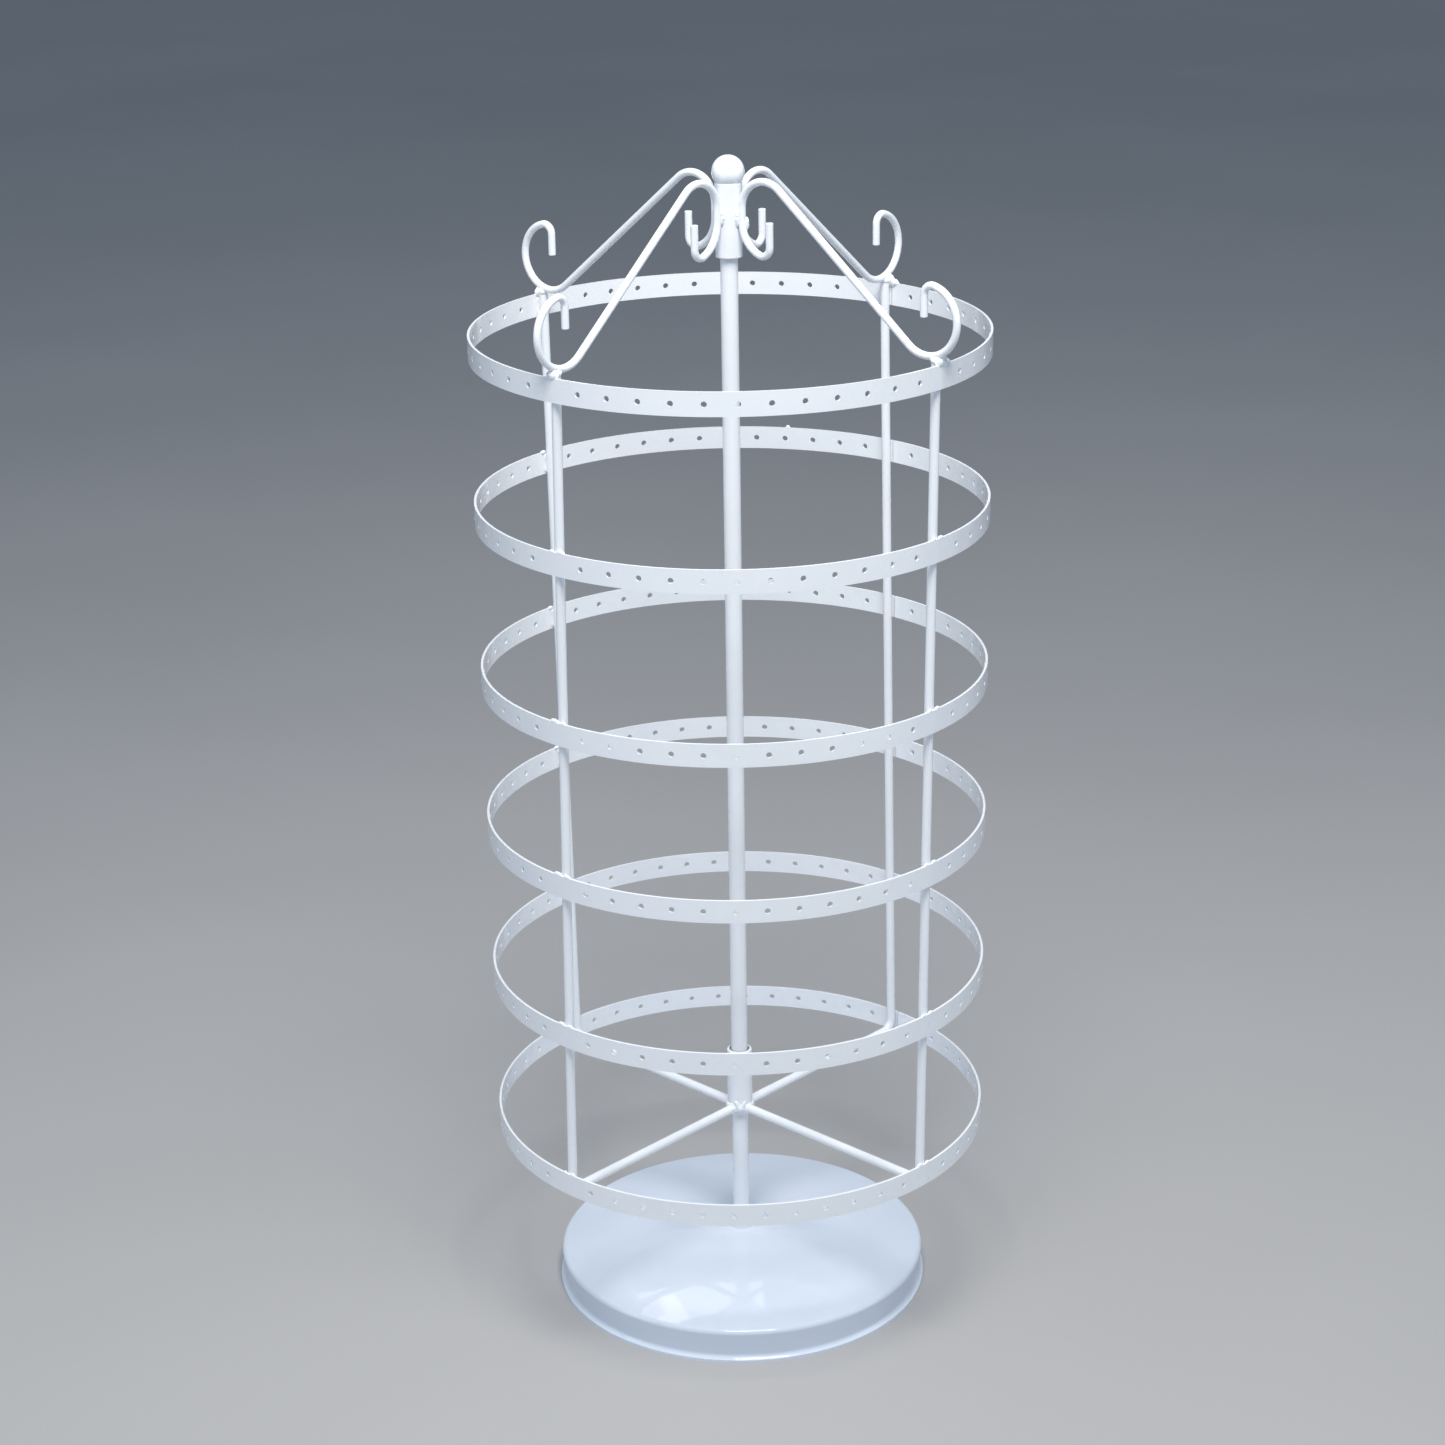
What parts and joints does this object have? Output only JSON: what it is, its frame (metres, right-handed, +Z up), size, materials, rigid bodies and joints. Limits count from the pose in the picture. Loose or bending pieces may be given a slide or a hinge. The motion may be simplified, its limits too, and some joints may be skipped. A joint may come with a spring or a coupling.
{
  "type": "rotating display rack",
  "caption": "Countertop earring rack: a cage of perforated hoops on straight rods with scrolled wires on top, turning on a pole that stands on a round domed foot.",
  "frame": {"origin": "on the pole's axis, on the surface that the rack stands on", "axes": "+Z up along the pole, -Y front, +X right; the spokes lie on the X and Y axes"},
  "size_m": [0.2368, 0.2368, 0.5202],
  "materials": {
    "white_enamel": "glossy white powder coat, slightly cool",
    "foot_enamel": "smooth high-gloss white enamel",
    "plated_steel": "bright zinc plate"
  },
  "bodies": {
    "stand": {"base_dish": "foot_enamel", "base_washer": "plated_steel", "base_screw": "plated_steel", "pole": "white_enamel", "pole_foot_plug": "plated_steel", "pole_foot_collar": "white_enamel", "pole_pivot": "plated_steel"},
    "cage": {"lower_sleeve": "white_enamel", "upper_sleeve": "white_enamel", "finial_ball": "white_enamel", "ring_1": "white_enamel", "ring_2": "white_enamel", "ring_3": "white_enamel", "ring_4": "white_enamel", "ring_5": "white_enamel", "ring_6": "white_enamel", "upright_right": "white_enamel", "upright_back": "white_enamel", "upright_left": "white_enamel", "upright_front": "white_enamel", "scroll_right": "white_enamel", "scroll_back": "white_enamel", "scroll_left": "white_enamel", "scroll_front": "white_enamel"}
  },
  "joints": [
    {"name": "cage_spin", "type": "hinge", "parent": "stand", "child": "cage", "pos_m": [0, 0, 0], "axis": [0, 0, 1], "continuous": true}
  ]
}
